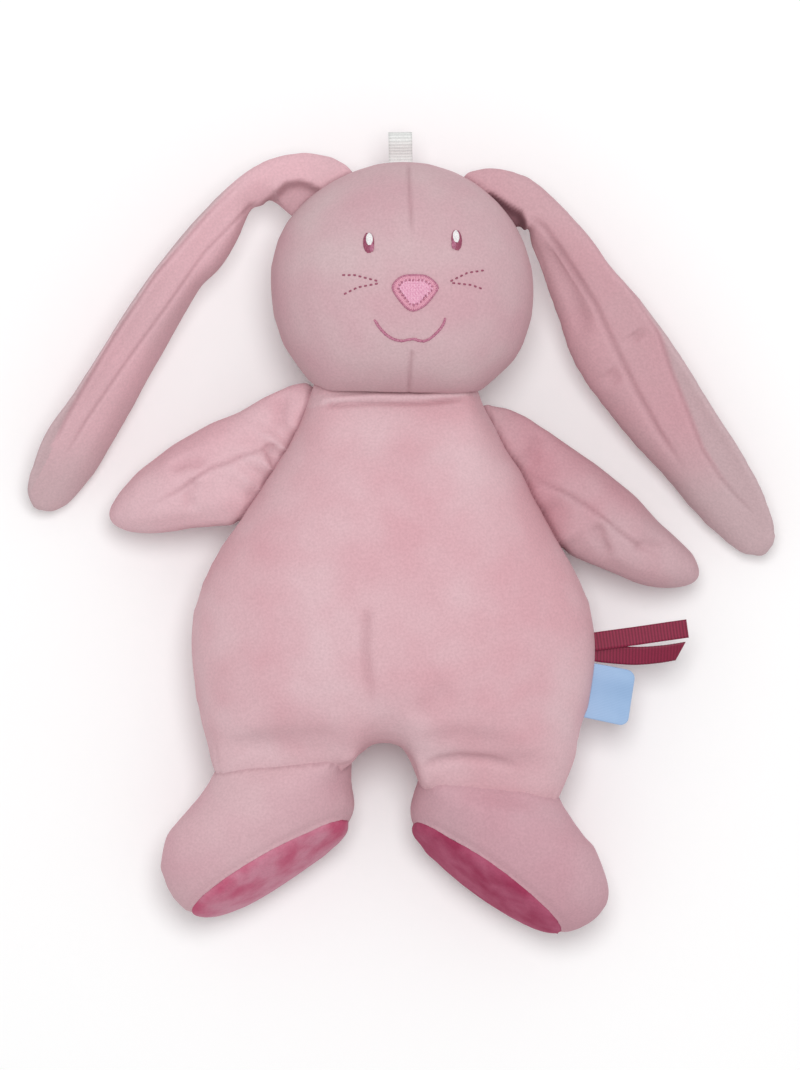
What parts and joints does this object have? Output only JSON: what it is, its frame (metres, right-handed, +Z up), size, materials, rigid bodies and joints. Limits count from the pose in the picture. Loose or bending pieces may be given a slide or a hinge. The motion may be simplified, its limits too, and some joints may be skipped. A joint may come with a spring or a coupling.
{
  "type": "stuffed bunny rabbit",
  "caption": "Soft velour bunny with long drooping ears, pear-shaped tummy, flat-sewn arms, feet with darker soles and an embroidered face; a toy to hold, cuddle and hang by its loop.",
  "frame": {"origin": "on the flat of the back where the toy lies, below the middle of the tummy", "axes": "+Z up from the back to the tummy, +Y from feet to head, +X across towards the toy's left arm, the picture's right"},
  "size_m": [0.2845, 0.3147, 0.0863],
  "materials": {
    "pink_velour": "cut-pile polyester velour, soft sheen",
    "raspberry_velour": "cut-pile polyester velour, soft sheen",
    "polyester_fibre": "loose hollow fibre filling",
    "raspberry_thread": "satin-stitch embroidery thread",
    "white_thread": "satin-stitch embroidery thread",
    "pink_satin_thread": "satin-stitch embroidery thread",
    "rose_thread": "stem-stitch embroidery thread",
    "white_ribbon": "ribbed grosgrain ribbon",
    "raspberry_ribbon": "ribbed grosgrain ribbon",
    "blue_label": "smooth woven satin label, blank"
  },
  "bodies": {
    "torso": {"body_front_panel": "pink_velour", "body_back_panel": "pink_velour", "body_stuffing": "polyester_fibre"},
    "head": {"head_face_panel": "pink_velour", "head_back_panel": "pink_velour", "head_stuffing": "polyester_fibre", "eye_left": "raspberry_thread", "eye_right": "raspberry_thread", "eye_left_glint": "white_thread", "eye_right_glint": "white_thread", "nose_fill": "pink_satin_thread", "nose_outline": "rose_thread", "mouth_stitch": "rose_thread", "whiskers_left": "rose_thread", "whiskers_right": "rose_thread"},
    "ear_left": {"ear_left_inner_panel": "pink_velour", "ear_left_outer_panel": "pink_velour", "ear_left_wadding": "polyester_fibre"},
    "arm_left": {"arm_left_upper_panel": "pink_velour", "arm_left_lower_panel": "pink_velour", "arm_left_stuffing": "polyester_fibre"},
    "foot_left": {"foot_left_upper": "pink_velour", "foot_left_sole": "raspberry_velour", "foot_left_stuffing": "polyester_fibre"},
    "ear_right": {"ear_right_inner_panel": "pink_velour", "ear_right_outer_panel": "pink_velour", "ear_right_wadding": "polyester_fibre"},
    "arm_right": {"arm_right_upper_panel": "pink_velour", "arm_right_lower_panel": "pink_velour", "arm_right_stuffing": "polyester_fibre"},
    "foot_right": {"foot_right_upper": "pink_velour", "foot_right_sole": "raspberry_velour", "foot_right_stuffing": "polyester_fibre"},
    "hang_loop": {"hang_loop": "white_ribbon"},
    "side_ribbon": {"side_ribbon": "raspberry_ribbon"},
    "side_label": {"side_label": "blue_label"}
  },
  "joints": [
    {"name": "head_nod", "type": "hinge", "parent": "torso", "child": "head", "pos_m": [0.00145, 0.07553, 0.03775], "axis": [0.9986, -0.0523, 0], "range_deg": [-15, 15], "stiffness_Nm_per_rad": 0.4},
    {"name": "ear_left_lift", "type": "hinge", "parent": "head", "child": "ear_left", "pos_m": [-0.03054, 0.15522, 0.0395], "axis": [-0.6561, 0.7547, 0], "range_deg": [-10, 95], "stiffness_Nm_per_rad": 0.06},
    {"name": "ear_right_lift", "type": "hinge", "parent": "head", "child": "ear_right", "pos_m": [0.04002, 0.15306, 0.0395], "axis": [-0.7009, -0.7133, 0], "range_deg": [-10, 95], "stiffness_Nm_per_rad": 0.06},
    {"name": "arm_left_lift", "type": "hinge", "parent": "torso", "child": "arm_left", "pos_m": [-0.04502, 0.05213, 0.036], "axis": [0.5446, 0.8387, 0], "range_deg": [-20, 60], "stiffness_Nm_per_rad": 0.06},
    {"name": "arm_right_lift", "type": "hinge", "parent": "torso", "child": "arm_right", "pos_m": [0.05022, 0.04714, 0.036], "axis": [0.454, -0.891, 0], "range_deg": [-20, 60], "stiffness_Nm_per_rad": 0.06},
    {"name": "foot_left_flex", "type": "hinge", "parent": "torso", "child": "foot_left", "pos_m": [-0.04463, -0.06826, 0.036], "axis": [-0.9986, 0.0523, 0], "range_deg": [-20, 22], "stiffness_Nm_per_rad": 0.08},
    {"name": "foot_right_flex", "type": "hinge", "parent": "torso", "child": "foot_right", "pos_m": [0.03725, -0.07255, 0.036], "axis": [-0.9986, 0.0523, 0], "range_deg": [-20, 22], "stiffness_Nm_per_rad": 0.08},
    {"name": "hang_loop_flap", "type": "hinge", "parent": "head", "child": "hang_loop", "pos_m": [0.00267, 0.16796, 0.0395], "axis": [0.9998, 0.0175, 0], "range_deg": [-35, 35], "stiffness_Nm_per_rad": 0.001},
    {"name": "side_ribbon_flap", "type": "hinge", "parent": "torso", "child": "side_ribbon", "pos_m": [0.07826, -0.02213, 0.036], "axis": [0.0248, -0.9997, 0], "range_deg": [-35, 35], "stiffness_Nm_per_rad": 0.001},
    {"name": "side_label_flap", "type": "hinge", "parent": "torso", "child": "side_label", "pos_m": [0.07686, -0.03958, 0.036], "axis": [-0.1588, -0.9873, 0], "range_deg": [-45, 45], "stiffness_Nm_per_rad": 0.001}
  ]
}
